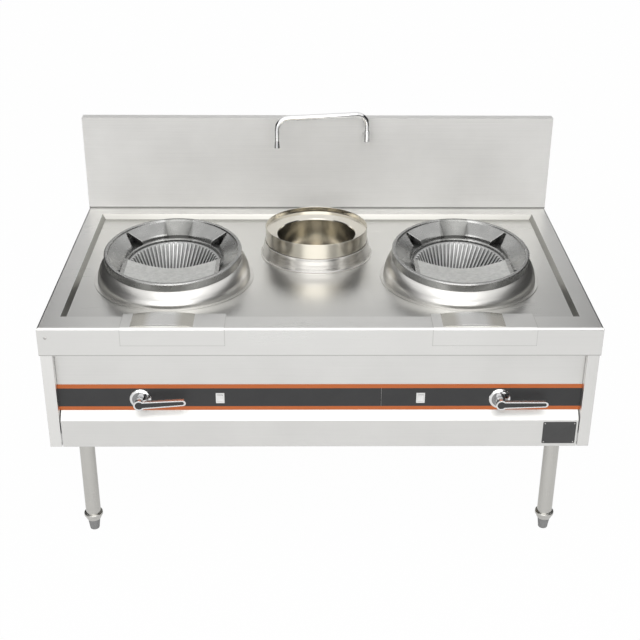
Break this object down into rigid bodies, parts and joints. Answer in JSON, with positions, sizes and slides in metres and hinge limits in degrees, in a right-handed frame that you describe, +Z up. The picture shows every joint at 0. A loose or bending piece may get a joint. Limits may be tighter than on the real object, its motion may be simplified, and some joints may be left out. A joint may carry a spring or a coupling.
{
  "type": "wok range",
  "caption": "Free-standing wok range with tilted cast rings, finned fire bowls, lift-out warm pot, splashback, swing spout, lever gas valves, blowers and screw feet.",
  "frame": {"origin": "on the floor at the centre of the footprint", "axes": "+X to the cook's right, +Y to the back, +Z up"},
  "size_m": [1.8, 1.1244, 1.22],
  "materials": {
    "stainless": "fine vertical grain",
    "drawn_steel": "spun and polished",
    "ring_casting": "silver-grey heat-resisting casting, sand-cast skin",
    "bowl_casting": "grey casting with fins",
    "burner_casting": "raw casting",
    "control_band": "dark grey satin",
    "stripe": "orange satin",
    "chrome": "polished chrome",
    "inlay": "dark grey satin plastic",
    "white_plastic": "white gloss",
    "brass": "turned brass",
    "pipe_steel": "yellow gas paint",
    "frame_steel": "grey primer",
    "blower_paint": "black powder coat",
    "galvanised": "dull zinc",
    "foot_grey": "grey satin"
  },
  "bodies": {
    "carcass": {"worktop": "stainless", "splashback": "stainless", "side_panel_left": "stainless", "side_panel_right": "stainless", "back_panel": "stainless", "front_panel": "stainless", "bottom_rail": "stainless", "guard_plate_left": "stainless", "guard_plate_right": "stainless", "wok_collar_left": "drawn_steel", "wok_collar_right": "drawn_steel", "pot_collar": "drawn_steel", "pot_well": "drawn_steel", "leg_front_left": "drawn_steel", "leg_front_right": "drawn_steel", "leg_back_left": "drawn_steel", "leg_back_right": "drawn_steel", "fire_bowl_left": "bowl_casting", "fire_bowl_right": "bowl_casting", "bowl_fins_left": "bowl_casting", "bowl_fins_right": "bowl_casting", "burner_left": "burner_casting", "burner_right": "burner_casting", "control_band_left": "control_band", "control_band_right": "control_band", "orange_stripes": "stripe", "escutcheon_left": "chrome", "escutcheon_right": "chrome", "spout_elbow": "chrome", "switch_left": "white_plastic", "switch_right": "white_plastic", "gas_valve_left": "brass", "gas_valve_right": "brass", "gas_header": "pipe_steel", "supply_pipe_left": "pipe_steel", "supply_pipe_right": "pipe_steel", "base_frame": "frame_steel", "blower_left": "blower_paint", "blower_right": "blower_paint", "air_duct_left": "galvanised", "air_duct_right": "galvanised"},
    "lever_left": {"lever_left": "chrome", "lever_inlay_left": "inlay", "lever_stem_left": "brass"},
    "lever_right": {"lever_right": "chrome", "lever_inlay_right": "inlay", "lever_stem_right": "brass"},
    "rocker_left": {"rocker_left": "white_plastic"},
    "rocker_right": {"rocker_right": "white_plastic"},
    "spout": {"spout": "chrome"},
    "ring_left": {"wok_ring_left": "ring_casting"},
    "ring_right": {"wok_ring_right": "ring_casting"},
    "pot": {"warm_pot": "drawn_steel"},
    "foot_front_left": {"foot_front_left": "foot_grey"},
    "foot_front_right": {"foot_front_right": "foot_grey"},
    "foot_back_left": {"foot_back_left": "foot_grey"},
    "foot_back_right": {"foot_back_right": "foot_grey"},
    "impeller_left": {"impeller_left": "galvanised"},
    "impeller_right": {"impeller_right": "galvanised"}
  },
  "joints": [
    {"name": "lever_left_turn", "type": "hinge", "parent": "carcass", "child": "lever_left", "pos_m": [-0.59, -0.542, 0.542], "axis": [0, 1, 0], "range_deg": [0, 90]},
    {"name": "lever_right_turn", "type": "hinge", "parent": "carcass", "child": "lever_right", "pos_m": [0.59, -0.542, 0.542], "axis": [0, 1, 0], "range_deg": [0, 90]},
    {"name": "rocker_left_tip", "type": "hinge", "parent": "carcass", "child": "rocker_left", "pos_m": [-0.329, -0.5145, 0.546], "axis": [1, 0, 0], "range_deg": [-16, 0]},
    {"name": "rocker_right_tip", "type": "hinge", "parent": "carcass", "child": "rocker_right", "pos_m": [0.329, -0.5145, 0.546], "axis": [1, 0, 0], "range_deg": [-16, 0]},
    {"name": "spout_swing", "type": "hinge", "parent": "carcass", "child": "spout", "pos_m": [0.185, 0.453, 1.133], "axis": [0, 0, 1], "range_deg": [-12, 140]},
    {"name": "ring_left_lift", "type": "slide", "parent": "carcass", "child": "ring_left", "axis": [0, -0.0958, 0.9954], "range_m": [0, 0.15]},
    {"name": "ring_right_lift", "type": "slide", "parent": "carcass", "child": "ring_right", "axis": [0, -0.0958, 0.9954], "range_m": [0, 0.15]},
    {"name": "pot_lift", "type": "slide", "parent": "carcass", "child": "pot", "axis": [0, 0, 1], "range_m": [0, 0.25]},
    {"name": "foot_front_left_screw", "type": "slide", "parent": "carcass", "child": "foot_front_left", "axis": [0, 0, 1], "range_m": [-0.025, 0]},
    {"name": "foot_front_right_screw", "type": "slide", "parent": "carcass", "child": "foot_front_right", "axis": [0, 0, 1], "range_m": [-0.025, 0]},
    {"name": "foot_back_left_screw", "type": "slide", "parent": "carcass", "child": "foot_back_left", "axis": [0, 0, 1], "range_m": [-0.025, 0]},
    {"name": "foot_back_right_screw", "type": "slide", "parent": "carcass", "child": "foot_back_right", "axis": [0, 0, 1], "range_m": [-0.025, 0]},
    {"name": "impeller_left_spin", "type": "hinge", "parent": "carcass", "child": "impeller_left", "pos_m": [-0.506, 0.188, 0.52], "axis": [1, 0, 0], "continuous": true},
    {"name": "impeller_right_spin", "type": "hinge", "parent": "carcass", "child": "impeller_right", "pos_m": [0.488, 0.188, 0.52], "axis": [1, 0, 0], "continuous": true}
  ]
}
